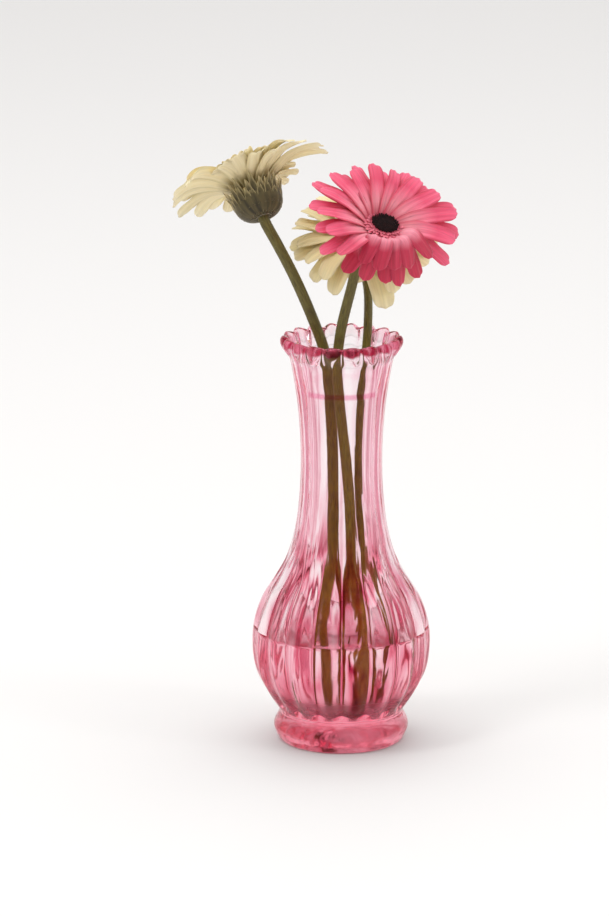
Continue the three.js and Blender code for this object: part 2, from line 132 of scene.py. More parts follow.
# A bloom's disc_facing and disc_shift set its eye askew. Its hang, stretch and sag change its rays
# with their direction, and each band (azimuth, half span, length, fall) changes those inside it.
BLOOMS = [
    {
        "name": "pink",
        "petal_slot": "petal_pink",
        "eye_slot": "eye_black",
        "centre": (21.6, -32.4, 320.5),
        "facing": (0.27, -0.63, 0.73),
        "layers": [
            {"length": 38.4, "width": 10.6, "root_z": 0.2, "rise": 38, "fall": -12},
            {"length": 35.7, "width": 10, "root_z": 1.8, "rise": 46, "fall": -4},
        ],
        "bend": 0.7,
        "broad": 1.05,
        "fold": 1.0,
        "sideways": 0.07,
        "disc_facing": (0.224, -0.443, 0.868),
        "disc_shift": (2.2, 0, -0.8),
        "hang": 47,
        "stretch": (-115, -0.09),
        "sag": (-60, 0),
        "bands": [(90, 48, 0.9, 0)],
        "calyx": LONG_CALYX,
        "stem_radius": 3.2,
        "stem": [
            (4.6, -10, FLOOR_Z), (5.9, -9.5, 70), (6.2, -9, 105), (5.2, -9, 140), (2.6, -9.5, 175),
            (-1.2, -10.5, 210), (-2.8, -12, 232), (-0.9, -14, 254), (4.6, -15.2, 278),
            (9.6, -17.6, 296),
        ],
        "seed": 11,
    },
    {
        "name": "cream_left",
        "petal_slot": "petal_cream",
        "eye_slot": "eye_brown",
        "centre": (-52, 9.5, 335),
        "facing": (-0.31, 0.5455, 0.774),
        "layers": [
            {"length": 45.3, "width": 10.6, "root_z": 0.2, "rise": 46, "fall": -30},
            {"length": 41.6, "width": 10, "root_z": 2.2, "rise": 53, "fall": -35},
        ],
        "bend": 1.3,
        "broad": 1.1,
        "hang": 0,
        "stretch": (180, 0.045),
        "sag": (180, -16),
        "bands": [
            (-113, 15, 0.69, 14), (-71, 28, 0.7, 20), (0, 16, 1.1, 2), (34, 20, 0.7, 16),
            (90, 36, 0.74, 2), (160, 34, 1, 12),
        ],
        "calyx": SHALLOW_CALYX,
        "stem_radius": 3.4,
        "stem": [
            (-7, 6, FLOOR_Z), (-5.1, 5.5, 70), (-4.9, 5, 110), (-4.9, 4.5, 150), (-5.6, 3.5, 185),
            (-7.6, 1, 216), (-10.4, -1, 240), (-17.6, -3, 261), (-28.2, -4.4, 286),
            (-38.4, -4, 306),
        ],
        "seed": 5,
    },
    {
        "name": "cream_back",
        "petal_slot": "petal_cream",
        "eye_slot": "eye_brown",
        "centre": (12.4, 22, 304.8),
        "facing": (-0.05, -0.47, 0.88),
        "layers": [
            {"length": 38, "width": 11, "root_z": 0.2, "rise": 6, "fall": -20},
            {"length": 35, "width": 10.2, "root_z": 1.8, "rise": 15, "fall": -8},
        ],
        "bend": 1.3,
        "broad": 1.28,
        "hang": 40,
        "stretch": (0, 0.05),
        "sag": (-90, 0),
        "bands": [(-97, 17, 0.76, 0), (-67, 13, 1.17, -34), (-128, 12, 1.05, -16)],
        "calyx": LONG_CALYX,
        "stem_radius": 2.7,
        "stem": [
            (19.8, 9.5, FLOOR_Z), (20.6, 10, 66), (17.6, 9.5, 92), (13, 9, 120), (10.6, 9, 155),
            (11, 10, 190), (13, 12.4, 222), (15.6, 17.6, 248), (15.8, 26.5, 271),
        ],
        "seed": 29,
    },
]

# Camera, floor and light, in m and degrees
CAMERA_LENS = 196.507
CAMERA_PLACE = (-0.0222, -2.910887, 0.899966)
CAMERA_TILT = 76
FLOOR_HALF = 7
LIGHT_BOUNCES = 96
GLOSSY_BOUNCES = 64


def smoothstep(x, low, high):
    t = np.clip((x - low) / (high - low), 0, 1)
    return t * t * (3 - 2 * t)


def lerp(a, b, t):
    return a + (b - a) * t


def seeded_draw(seed):
    """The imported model's repeatable random draw between -1 and 1."""
    state = seed

    def draw():
        nonlocal state
        state = (state * 1664525 + 1013904223) % 4294967296
        return state / 2147483648 - 1

    return draw


def spline(points, steps):
    """A centripetal Catmull-Rom curve through the points, with so many steps between two."""
    points = np.asarray(points, float)
    padded = np.vstack([2 * points[0] - points[1], points, 2 * points[-1] - points[-2]])
    t = np.linspace(0, 1, steps, endpoint=False)[:, None]
    curve = []
    for p0, p1, p2, p3 in zip(padded, padded[1:], padded[2:], padded[3:]):
        before, here, after = (
            math.sqrt(np.linalg.norm(b - a)) for a, b in ((p0, p1), (p1, p2), (p2, p3))
        )
        start = (p1 - p0) / before - (p2 - p0) / (before + here) + (p2 - p1) / here
        end = (p2 - p1) / here - (p3 - p1) / (here + after) + (p3 - p2) / after
        start, end = start * here, end * here
        curve.append(
            p1 + t * start + t**2 * (3 * (p2 - p1) - 2 * start - end)
            + t**3 * (2 * (p1 - p2) + start + end)
        )
    return np.vstack(curve + [points[-1:]])


def resample(curve, count):
    """The curve's points at so many equal steps along it."""
    along = np.concatenate([[0], np.cumsum(np.linalg.norm(np.diff(curve, axis=0), axis=1))])
    at = np.linspace(0, along[-1], count)
    return np.stack([np.interp(at, along, values) for values in curve.T], axis=1)


def ring_faces(start, rings, count, closed=True):
    """Quads between rings of count points that follow each other from the point start."""
    sides = np.arange(count if closed else count - 1)
    i, j = np.meshgrid(np.arange(rings - 1), sides, indexing="ij")
    k = (j + 1) % count
    quads = np.stack([i * count + j, i * count + k, (i + 1) * count + k, (i + 1) * count + j], axis=-1)
    return start + quads.reshape(-1, 4)


def tube_faces(rings, count):
    """Faces of rings of points, closed at each end round one more point after them."""
    around = np.arange(count)
    beside = (around + 1) % count
    last = (rings - 1) * count
    middle = np.full(count, rings * count)
    first_end = np.stack([middle, beside, around], axis=1)
    last_end = np.stack([middle + 1, last + around, last + beside], axis=1)
    return [ring_faces(0, rings, count), first_end, last_end]


def full_turn(count):
    return np.linspace(0, 2 * np.pi, count, endpoint=False)


class Builder:
    """Points and faces of one mesh, with a UV and named values for each point."""

    def __init__(self):
        self.points, self.faces, self.uvs = [], [], []
        self.values = {"tone": [], "under": []}
        self.count = 0

    def add(self, points, faces, uvs=None, tone=0.5, under=0):
        """Adds points and one group of faces, or a list of groups, that count from these points."""
        points = np.asarray(points, float).reshape(-1, 3)
        self.points.append(points)
        for group in faces if isinstance(faces, list) else [faces]:
            self.faces.append(np.asarray(group) + self.count)
        self.uvs.append(np.zeros((len(points), 2)) if uvs is None else np.asarray(uvs).reshape(-1, 2))
        for name, value in (("tone", tone), ("under", under)):
            self.values[name].append(np.broadcast_to(np.asarray(value, float), len(points)))
        self.count += len(points)

    def make(self, name, material, slot, nodes, place=None):
        """The finished piece, turned and moved by place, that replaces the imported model's nodes."""
        points = np.vstack(self.points)
        if place is not None:
            turn, centre = place
            points = points @ turn.T + centre
        corners = np.concatenate([group.ravel() for group in self.faces])
        sizes = np.concatenate([np.full(len(group), group.shape[1]) for group in self.faces])
        mesh = bpy.data.meshes.new(name)
        mesh.vertices.add(len(points))
        mesh.vertices.foreach_set("co", (points * MM).ravel())
        mesh.loops.add(len(corners))
        mesh.loops.foreach_set("vertex_index", corners.astype(np.int32))
        mesh.polygons.add(len(sizes))
        mesh.polygons.foreach_set("loop_start", (np.cumsum(sizes) - sizes).astype(np.int32))
        layer = mesh.uv_layers.new(name="UVMap")
        layer.data.foreach_set("uv", np.vstack(self.uvs)[corners].ravel())
        for key, parts in self.values.items():
            attribute = mesh.attributes.new(key, "FLOAT", "POINT")
            attribute.data.foreach_set("value", np.concatenate(parts))
        mesh.update(calc_edges=True)
        mesh.shade_smooth()
        mesh.materials.append(material)
        piece = bpy.data.objects.new(name, mesh)
        bpy.context.scene.collection.objects.link(piece)
        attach(piece, "root")
        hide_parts(*nodes)
        return piece


def frame_of(bloom):
    """The turn and the centre that take a bloom's own frame to the arrangement's."""
    facing = Vector(bloom["facing"]).normalized()
    turn = Vector((0, 0, 1)).rotation_difference(facing).to_matrix()
    return np.array(turn), np.array(bloom["centre"], float)


def disc_frame_of(bloom):
    """As frame_of, for the eye and the florets round it, which can sit askew in a bloom."""
    shift = bloom.get("disc_shift", (0, 0, 0))
    centre = np.array(bloom["centre"], float) + shift
    return frame_of({"facing": bloom.get("disc_facing", bloom["facing"]), "centre": centre})


# Materials


def new_material(name):
    material = bpy.data.materials.new(name)
    material.use_nodes = True
    return material, material.node_tree, material.node_tree.nodes["Principled BSDF"]


def add_node(tree, kind, inputs=None, **settings):
    node = tree.nodes.new("ShaderNode" + kind)
    for key, value in settings.items():
        setattr(node, key, value)
    for key, value in (inputs or {}).items():
        if isinstance(value, bpy.types.NodeSocket):
            tree.links.new(value, node.inputs[key])
        else:
            node.inputs[key].default_value = value
    return node


def math_node(tree, operation, a, b=0.0):
    return add_node(tree, "Math", {0: a, 1: b}, operation=operation).outputs[0]


def multiply(tree, a, b):
    return math_node(tree, "MULTIPLY", a, b)


def noise(tree, place, scale, detail, distortion=0.0):
    inputs = {"Vector": place, "Scale": scale, "Detail": detail, "Distortion": distortion}
    return add_node(tree, "TexNoise", inputs).outputs[0]


def attribute_value(tree, name):
    return add_node(tree, "Attribute", attribute_name=name).outputs["Fac"]


def split_uv(tree):
    split = add_node(tree, "SeparateXYZ", {0: add_node(tree, "UVMap", uv_map="UVMap").outputs[0]})
    return split.outputs[0], split.outputs[1]


def stretched_noise(tree, stretch, scale, detail):
    """Noise over a piece's UV, with u and v stretched by two factors."""
    u, v = split_uv(tree)
    place = add_node(tree, "CombineXYZ", {
        0: multiply(tree, u, stretch[0]), 1: multiply(tree, v, stretch[1])}).outputs[0]
    return noise(tree, place, scale, detail)


def set_inputs(shader, values):
    for name, value in values.items():
        shader.inputs[name].default_value = value


def link_surface(tree, shader, colour, height, strength, distance):
    """Gives a shader its colour, and a bump from the height."""
    tree.links.new(colour, shader.inputs["Base Color"])
    bump = add_node(tree, "Bump", {"Height": height, "Strength": strength, "Distance": distance})
    tree.links.new(bump.outputs[0], shader.inputs["Normal"])


def map_range(tree, value, low, high, to_low=0.0, to_high=1.0):
    inputs = {"Value": value, "From Min": low, "From Max": high, "To Min": to_low, "To Max": to_high}
    return add_node(tree, "MapRange", inputs).outputs[0]


def mix_value(tree, factor, a, b):
    return add_node(tree, "Mix", {0: factor, 2: a, 3: b}).outputs[0]


def mix_colour(tree, factor, a, b, blend="MIX"):
    inputs = {0: factor, 6: a, 7: b}
    return add_node(tree, "Mix", inputs, data_type="RGBA", blend_type=blend).outputs[2]


def ramp(tree, factor, stops):
    node = add_node(tree, "ValToRGB", {0: factor})
    elements = node.color_ramp.elements
    while len(elements) < len(stops):
        elements.new(1)
    for element, (position, colour) in zip(elements, stops):
        element.position = position
        element.color = colour
    return node.outputs[0]


def srgb(red, green, blue):
    """A screen colour, 0 to 255, as the linear colour that a shader takes."""
    scaled = [value / 255 for value in (red, green, blue)]
    linear = [v / 12.92 if v <= 0.04045 else ((v + 0.055) / 1.055) ** 2.4 for v in scaled]
    return (*linear, 1)


def glass_places(tree):
    """Values over the glass that its colour, its roughness and its waves are made from."""
    point = add_node(tree, "TexCoord").outputs["Object"]
    split = add_node(tree, "SeparateXYZ", {0: point})
    height = split.outputs[2]
    flat = add_node(tree, "CombineXYZ", {0: split.outputs[0], 1: split.outputs[1]}).outputs[0]
    unit = add_node(tree, "VectorMath", {0: flat}, operation="NORMALIZE").outputs[0]
    around = add_node(tree, "SeparateXYZ", {0: unit})
    sideways, backward = around.outputs[0], around.outputs[1]
    place = add_node(tree, "CombineXYZ", {
        0: sideways, 1: backward, 2: multiply(tree, height, 6.0)}).outputs[0]
    lobe = attribute_value(tree, "tone")
    return {
        "height": height,
        "backward": backward,
        "lobe": lobe,
        "inner": attribute_value(tree, "under"),
        "streaks": noise(tree, place, 4.5, 1.0, 1.0),
        "lumps": noise(tree, place, 11.0, 2.0),
        "clouds": noise(tree, point, 60.0, 2.0),
        "valley": map_range(tree, lobe, 0.0, 0.3, 1.0, 0.0),
        # One towards ±X, where the camera sees the wall edge-on; it weights painted shade.
        "side": map_range(tree, math_node(tree, "ABSOLUTE", sideways), 0.4, 0.85),
        "upper": map_range(tree, height, 0.1, 0.16),
        "foot": map_range(tree, height, 0.017, 0.024, 1.0, 0.0),
    }


def rim_share_with_front_shade(tree, at):
    """One on the rim's rope, whose lower edge is uneven, and less at the back: the rope's deep colour is
    partly the thick glass and partly painted shade at the front.
    """
    hang = math_node(tree, "ADD", at["height"], multiply(tree, at["lobe"], 0.0015))
    hang = math_node(tree, "ADD", hang, multiply(tree, at["lumps"], 0.003))
    # Painted shade: the rope stays deep mainly at the front (-Y), the side that faces the camera.
    front = map_range(tree, at["backward"], 0.35, -0.1, 0.15, 1.0)
    return multiply(tree, map_range(tree, hang, 0.2455, 0.247), front)


def bulb_and_neck_colour(tree, at):
    """Deep and pale streaks in the bulb, a pale neck, and deeper lines along the valleys, with painted
    shade towards ±X.
    """
    bulb = ramp(tree, at["streaks"], [
        (0.28, (0.4, 0.015, 0.06, 1)), (0.37, (0.8, 0.26, 0.36, 1)), (0.48, (0.94, 0.64, 0.71, 1)),
        (0.62, (1.0, 0.96, 0.97, 1))])
    neck = ramp(tree, at["streaks"], [(0.38, (0.99, 0.91, 0.94, 1)), (0.52, (1.0, 0.97, 0.98, 1))])
    # Painted shade: towards ±X, where the camera sees the wall edge-on, the neck is pinker and its
    # valley lines deeper.
    neck = mix_colour(tree, multiply(tree, at["side"], 0.4), neck, (0.93, 0.55, 0.66, 1))
    colour = mix_colour(tree, at["upper"], bulb, neck)
    neck_line_side_shade = map_range(tree, at["side"], 0.0, 1.0, 0.1, 0.9)
    line = mix_value(tree, at["upper"], 0.4, neck_line_side_shade)
    line_colour = mix_colour(tree, at["upper"], (0.82, 0.2, 0.32, 1), (0.6, 0.07, 0.18, 1))
    return mix_colour(tree, multiply(tree, at["valley"], line), colour, line_colour)


def tint_ring_and_paint_pleat_shade(tree, at, colour):
    """The rose ring inside the neck, mainly in front, and painted shade in the valleys that lead up to
    the rim, towards ±X only.
    """
    off_ring = math_node(tree, "ABSOLUTE", math_node(tree, "SUBTRACT", at["height"], NECK_RING_M))
    ring = map_range(tree, off_ring, 0.001, 0.0024, 0.9, 0.0)
    ring = multiply(tree, ring, map_range(tree, at["backward"], 0.3, -0.2, 0.2, 1.0))
    colour = mix_colour(tree, multiply(tree, ring, at["inner"]), colour, (0.8, 0.2, 0.36, 1))
    # Painted shade: the valleys below the rim deepen only towards ±X, where the flutes are seen edge-on.
    pleat_side_shade = multiply(tree, at["valley"], map_range(tree, at["height"], 0.236, 0.243, 0.0, 0.9))
    return mix_colour(tree, multiply(tree, pleat_side_shade, at["side"]), colour, (0.6, 0.1, 0.2, 1))


def tint_ends(tree, at, rim, colour):
    """The crimson rim, which is partly painted shade; pale and rose patches over the foot, painted light
    and shade; and the rose tint that rises from the inside floor.
    """
    # The rim's crimson: partly the thick glass and partly painted shade, strongest at the front.
    crimson = ramp(tree, at["lumps"], [(0.42, (0.28, 0.003, 0.015, 1)), (0.62, (0.66, 0.1, 0.18, 1))])
    colour = mix_colour(tree, rim, colour, crimson)
    # Painted light and shade: pale and rose patches over the foot, for the soft patches of light seen
    # through it.
    foot_light_and_shade_patches = ramp(tree, at["clouds"], [
        (0.34, (0.74, 0.24, 0.34, 1)), (0.46, (0.98, 0.8, 0.84, 1)), (0.56, (1.0, 1.0, 1.0, 1))])
    colour = mix_colour(tree, at["foot"], colour, foot_light_and_shade_patches)
    tint_z = math_node(tree, "SUBTRACT", at["height"], multiply(tree, at["streaks"], 0.03))
    tint = multiply(tree, at["inner"], map_range(tree, tint_z, 0.012, 0.03, 0.9, 0.0))
    return mix_colour(tree, tint, colour, (0.96, 0.36, 0.46, 1))


def glass_roughness(tree, at, rim):
    """Clear walls, with a softer foot and rim and a blurred inside floor."""
    low = map_range(tree, multiply(tree, at["foot"], at["clouds"]), 0.4, 0.58, 0.08, 0.22)
    roughness = mix_value(tree, at["upper"], low, map_range(tree, rim, 0, 1, 0.03, 0.22))
    floor = multiply(tree, at["inner"], map_range(tree, at["height"], 0.026, 0.038, 1.0, 0.0))
    return mix_value(tree, floor, roughness, 0.55)


def glass_material():
    """Pink pressed glass: streaks along the flutes, deeper colour in the valleys and at the rim, partly
    painted shade towards ±X and at the front.
    """
    material, tree, shader = new_material("pink_glass")
    at = glass_places(tree)
    rim = rim_share_with_front_shade(tree, at)
    colour = bulb_and_neck_colour(tree, at)
    colour = tint_ring_and_paint_pleat_shade(tree, at, colour)
    tree.links.new(tint_ends(tree, at, rim, colour), shader.inputs["Base Color"])
    tree.links.new(glass_roughness(tree, at, rim), shader.inputs["Roughness"])
    set_inputs(shader, {
        "IOR": 1.5, "Specular Tint": (0.35, 0.04, 0.1, 1), "Transmission Weight": 1})
    strength = map_range(tree, at["height"], 0.1, 0.16, 0.4, 0.04)
    waves = add_node(tree, "Bump", {"Height": at["streaks"], "Strength": strength, "Distance": 0.002})
    bump = add_node(tree, "Bump", {
        "Height": at["clouds"], "Strength": multiply(tree, at["foot"], 0.5), "Distance": 0.004,
        "Normal": waves.outputs[0]})
    tree.links.new(bump.outputs[0], shader.inputs["Normal"])
    volume = add_node(tree, "VolumeAbsorption", {"Color": (0.97, 0.1, 0.3, 1), "Density": 16})
    tree.links.new(volume.outputs[0], tree.nodes["Material Output"].inputs["Volume"])
    return material


def water_material():
    """Clear still water with a faint surface gloss."""
    material, _, shader = new_material("still_water")
    set_inputs(shader, {
        "Base Color": (1, 1, 1, 1), "Roughness": 0.0, "IOR": 1.333,
        "Specular Tint": (0.3, 0.3, 0.3, 1), "Transmission Weight": 1})
    return material


def paint_fold_light_and_shade(tree, base, tone, v, off_middle, fold_light_colours):
    """Paints light and shade on a folded petal, which has a low tone: a painted shadow at its root, a
    painted highlight on the fold and painted shade on what hangs from it.
    """
    dark, bright, deep = fold_light_colours
    folded = map_range(tree, tone, 0.0, 0.6, 1.0, 0.0)
    hanging_shade = map_range(tree, v, 0.36, 0.62)
    base = mix_colour(tree, multiply(tree, folded, hanging_shade), base, deep)
    ridge_highlight = ramp(tree, v, [
        (0.16, (0, 0, 0, 1)), (0.3, (0.85, 0.85, 0.85, 1)), (0.4, (0.8, 0.8, 0.8, 1)),
        (0.66, (0, 0, 0, 1))])
    ridge_highlight = multiply(tree, ridge_highlight, map_range(tree, off_middle, 0.15, 0.5, 1.0, 0.2))
    base = mix_colour(tree, multiply(tree, folded, ridge_highlight), base, bright)
    root = multiply(tree, folded, map_range(tree, v, 0.11, 0.19, 0.85, 0.0))
    return mix_colour(tree, root, base, dark)


def petal_material(name, along, rim, back, fold_light_colours, streak_strength, glow):
    """Soft satin petal: a colour along its length and a rim, both partly painted shade, lengthwise
    streaks, a back, and painted light and shade on folded petals.

    The glow is how far each colour of light spreads in it.
    """
    material, tree, shader = new_material(name)
    u, v = split_uv(tree)
    tone = attribute_value(tree, "tone")
    shift = multiply(tree, tone, 37.0)
    place = add_node(tree, "CombineXYZ", {
        0: math_node(tree, "ADD", multiply(tree, u, 9.0), shift), 1: multiply(tree, v, 1.4),
        2: shift}).outputs[0]
    streaks = noise(tree, place, 1.0, 3.0)
    off_middle = math_node(tree, "ABSOLUTE", math_node(tree, "SUBTRACT", u, 0.5))
    base = mix_colour(tree, attribute_value(tree, "under"), ramp(tree, v, along), ramp(tree, v, back))
    # A deeper rim: partly the petal's own edge colour and partly painted shade where the petals overlap.
    base = mix_colour(tree, map_range(tree, off_middle, 0.32, 0.5, 0.0, 0.9), base, rim)
    base = paint_fold_light_and_shade(tree, base, tone, v, off_middle, fold_light_colours)
    shade = map_range(tree, streaks, 0.3, 0.7, 1 - streak_strength, 1 + streak_strength)
    # Painted shade: a low tone, as a folded ray has, darkens the whole petal; otherwise the tone differs
    # at random.
    shade = multiply(tree, shade, map_range(tree, tone, 0.0, 1.0, 0.94, 1.08))
    shading = add_node(tree, "CombineXYZ", {0: shade, 1: shade, 2: shade}).outputs[0]
    base = mix_colour(tree, 1.0, base, shading, "MULTIPLY")
    set_inputs(shader, {
        "Roughness": 0.55, "Subsurface Weight": 0.25, "Subsurface Radius": glow,
        "Subsurface Scale": 0.002, "Sheen Weight": 0.15})
    link_surface(tree, shader, base, streaks, 0.25, 0.0004)
    return material


def fibre_material(name, dark, light, roughness, sheen=0.2):
    """Matt plant skin with fine mottling along it."""
    material, tree, shader = new_material(name)
    fibres = stretched_noise(tree, (40.0, 6.0), 1.0, 4.0)
    mottle = noise(tree, add_node(tree, "TexCoord").outputs["Object"], 400.0, 3.0)
    blend = multiply(tree, math_node(tree, "ADD", fibres, mottle), 0.5)
    colour = ramp(tree, blend, [(0.38, dark), (0.62, light)])
    set_inputs(shader, {"Roughness": roughness, "Sheen Weight": sheen})
    link_surface(tree, shader, colour, blend, 0.3, 0.0005)
    return material


def stalk_material():
    """Green-brown stalk that turns amber towards its foot in the water."""
    material, tree, shader = new_material("stalk")
    fibres = stretched_noise(tree, (12.0, 3.0), 2.0, 4.0)
    height = add_node(tree, "SeparateXYZ", {0: add_node(tree, "TexCoord").outputs["Object"]}).outputs[2]
    share = multiply(tree, height, 3.0)
    dark = ramp(tree, share, [
        (0.2, srgb(150, 106, 6)), (0.4, srgb(112, 92, 2)), (0.71, srgb(92, 84, 2)),
        (0.78, srgb(78, 68, 20))])
    light = ramp(tree, share, [
        (0.2, srgb(198, 152, 22)), (0.4, srgb(148, 124, 8)), (0.71, srgb(122, 112, 8)),
        (0.78, srgb(110, 100, 40))])
    colour = mix_colour(tree, map_range(tree, fibres, 0.35, 0.65), dark, light)
    set_inputs(shader, {"Roughness": 0.55})
    link_surface(tree, shader, colour, fibres, 0.3, 0.0004)
    return material


def bract_material():
    """Downy bracts and bowl: dark olive streaks that turn pale towards a bract's tip."""
    material, tree, shader = new_material("bract")
    fibres = stretched_noise(tree, (3.0, 1.0), 1.6, 2.0)
    along = split_uv(tree)[1]
    dark = ramp(tree, along, [
        (0.0, srgb(60, 52, 28)), (0.4, srgb(46, 39, 17)), (0.65, srgb(56, 48, 20)),
        (1.0, srgb(150, 134, 86))])
    light = ramp(tree, along, [
        (0.0, srgb(120, 108, 74)), (0.4, srgb(94, 82, 48)), (0.65, srgb(100, 88, 50)),
        (1.0, srgb(206, 188, 140))])
    colour = mix_colour(tree, map_range(tree, fibres, 0.34, 0.66), dark, light)
    set_inputs(shader, {
        "Roughness": 0.7, "Sheen Weight": 0.6, "Sheen Roughness": 0.3,
        "Sheen Tint": (1, 0.92, 0.8, 1)})
    link_surface(tree, shader, colour, fibres, 0.4, 0.0005)
    return material


def make_materials():
    """All the materials by name."""
    # Each ramp starts darker at the root: painted shade where the rays meet the collar and the calyx,
    # over the rays' own deeper base.
    pink_along = [
        (0.0, srgb(186, 56, 78)), (0.1, srgb(212, 94, 110)), (0.28, srgb(238, 136, 150)),
        (0.5, srgb(240, 114, 138)), (0.7, srgb(230, 76, 112)), (1.0, srgb(240, 94, 128)),
    ]
    cream_along = [
        (0.0, srgb(150, 134, 80)), (0.25, srgb(214, 194, 138)), (0.6, srgb(232, 212, 158)),
        (1.0, srgb(236, 220, 170)),
    ]
    pink_back = [(0.0, srgb(190, 80, 100)), (0.5, srgb(224, 106, 132)), (1.0, srgb(226, 92, 122))]
    cream_back = [(0.0, srgb(84, 74, 36)), (0.2, srgb(160, 140, 90)), (0.36, srgb(238, 219, 170)),
                  (1.0, srgb(246, 231, 188))]
    # Rim colours: partly the petals' own deeper edge and partly painted shade where the petals overlap.
    pink_edge_and_shade, cream_edge_and_shade = srgb(196, 34, 70), srgb(214, 198, 146)
    # Painted shadow at a folded petal's root, painted highlight on its fold and painted shade on what
    # hangs from it, for each kind.
    pink_fold_light = (srgb(120, 12, 36), srgb(255, 156, 174), srgb(198, 30, 70))
    cream_fold_light = (srgb(150, 134, 80), srgb(232, 214, 162), srgb(226, 208, 156))
    floret_fold_light = (srgb(150, 24, 50), srgb(232, 108, 128), srgb(226, 96, 118))
    pink_glow, cream_glow = (1.0, 0.4, 0.4), (1.0, 0.92, 0.75)
    return {
        "vase_glass": glass_material(),
        "water": water_material(),
        "petal_pink": petal_material(
            "pink_petal", pink_along, pink_edge_and_shade, pink_back, pink_fold_light, 0.16, pink_glow),
        "petal_cream": petal_material(
            "cream_petal", cream_along, cream_edge_and_shade, cream_back, cream_fold_light, 0.08, cream_glow),
        # The florets' ramp starts near black at the root and their rim is deeper: painted shade among
        # the florets.
        "collar_pink": petal_material(
            "pink_floret", [(0.0, srgb(90, 14, 26)), (0.3, srgb(196, 60, 84)), (0.7, srgb(226, 96, 118)),
                            (1.0, srgb(238, 120, 140))], srgb(216, 76, 100), pink_back,
            floret_fold_light, 0.1, pink_glow),
        "collar_cream": petal_material(
            "cream_floret", [(0.0, srgb(120, 100, 50)), (0.6, srgb(204, 186, 132)),
                             (1.0, srgb(228, 214, 172))], cream_edge_and_shade, cream_back, cream_fold_light,
            0.1, cream_glow),
        "stalk": stalk_material(),
        "bract": bract_material(),
        "hair": fibre_material("stalk_hair", srgb(150, 144, 100), srgb(190, 184, 140), 0.8),
        "eye_black": fibre_material("black_eye", srgb(14, 3, 3), srgb(48, 12, 12), 0.95, sheen=0.0),
        "eye_brown": fibre_material("brown_eye", srgb(52, 34, 16), srgb(112, 84, 46), 0.8),
    }


# Vase and water


def flute_lobe(angle, z):
    """One at a lobe's crest and zero in the valley between two lobes, which is soft in the neck."""
    soft = 0.25
    cosine = np.cos(angle * FLUTES / 2)
    sharp = (np.sqrt(cosine**2 + soft**2) - soft) / (math.sqrt(1 + soft**2) - soft)
    neck = smoothstep(z, *NECK_SOFT_FROM) * (1 - smoothstep(z, *NECK_SOFT_TO))
    return lerp(sharp, cosine**2, 0.85 * neck)


def flute_depth(z):
    bulb = BULB_FLUTE_DEPTH * smoothstep(z, *BULB_FLUTES_START)
    neck = lerp(bulb, NECK_FLUTE_DEPTH, smoothstep(z, *BULB_FLUTES_FADE))
    return lerp(neck, RIM_FLUTE_DEPTH, smoothstep(z, *RIM_FLARE))


def inside_flute_depth(z):
    return 0.95 * flute_depth(z) * smoothstep(z, *INSIDE_FLUTES_START)


def neck_calm(angles, z):
    """Share of the flute depth that stays. The neck is worn smooth at the front and the back."""
    neck = smoothstep(z, *NECK_CALM_FROM) * (1 - smoothstep(z, *NECK_CALM_TO))
    return 1 - 0.9 * neck * (1 - smoothstep(np.abs(np.cos(angles)), 0.5, 0.8))


def rim_dip(z):
    return RIM_DIP * smoothstep(z, RIM_DIP_START, RIM_Z)


def vase_rings(outline, depth, angles):
    """Rings of the vase for an outline of (radius, height) at the lobes' crests."""
    radius, z = outline[:, :1], outline[:, 1:]
    valley = 1 - flute_lobe(angles[None, :], z)
    r = radius - depth(z) * neck_calm(angles[None, :], z) * valley
    height = z - rim_dip(z) * valley
    return np.stack([r * np.cos(angles), r * np.sin(angles), height], axis=-1)


def inside_outline():
    return resample(spline([LIP[-1], *INSIDE], 12), INSIDE_RINGS)


def make_vase(materials):
    """The glass: hollow underside, outside, rim and inside in one closed skin."""
    angles = full_turn(FLUTES * STEPS_PER_FLUTE)
    count = len(angles)
    under = resample(spline(UNDERSIDE, 8), UNDERSIDE_RINGS)
    outside = resample(spline([*FOOT_EDGE, *OUTSIDE, *LIP], 12), OUTSIDE_RINGS)
    inside = inside_outline()[1:]
    rings = np.concatenate([
        vase_rings(under, flute_depth, angles),
        vase_rings(outside, flute_depth, angles),
        vase_rings(inside, inside_flute_depth, angles),
    ])
    points = np.vstack([rings.reshape(-1, 3), [[0, 0, under[0, 1]], [0, 0, FLOOR_Z]]])
    lobe = flute_lobe(np.arctan2(points[:, 1], points[:, 0]), points[:, 2])
    lobe[points[:, 2] < WAIST_Z + 1] = 1
    inner = np.zeros(len(points))
    inner[(len(under) + len(outside)) * count:-2] = 1
    vase = Builder()
    vase.add(points, tube_faces(len(rings), count), tone=lobe, under=inner)
    return vase.make("glass_vase", materials["vase_glass"], "vase_glass", ["vase"])


def stem_line(bloom):
    """Middle line of a stem from its foot into the calyx."""
    turn, centre = frame_of(bloom)
    points = [np.array(p, float) for p in bloom["stem"]]
    points[0][2] += GAP
    for offset in (-4, 4):
        points.append(turn @ np.array([0, 0, bloom["calyx"]["base"] + offset]) + centre)
    return spline(points, 16)


def water_outline():
    """(radius, height) of the wet inside from the floor up to the water's edge."""
    inside = inside_outline()
    wet = inside[inside[:, 1] < WATER_Z - 0.2][::-1]
    below_r, below_z = wet[-1]
    above_r, above_z = ABOVE_WATER
    edge = np.interp(WATER_Z, [below_z, above_z], [below_r, above_r])
    side = np.vstack([wet, [edge, WATER_Z]])
    side[:, 0] += WATER_OVERLAP
    side[:-1, 1] -= WATER_OVERLAP
    return side


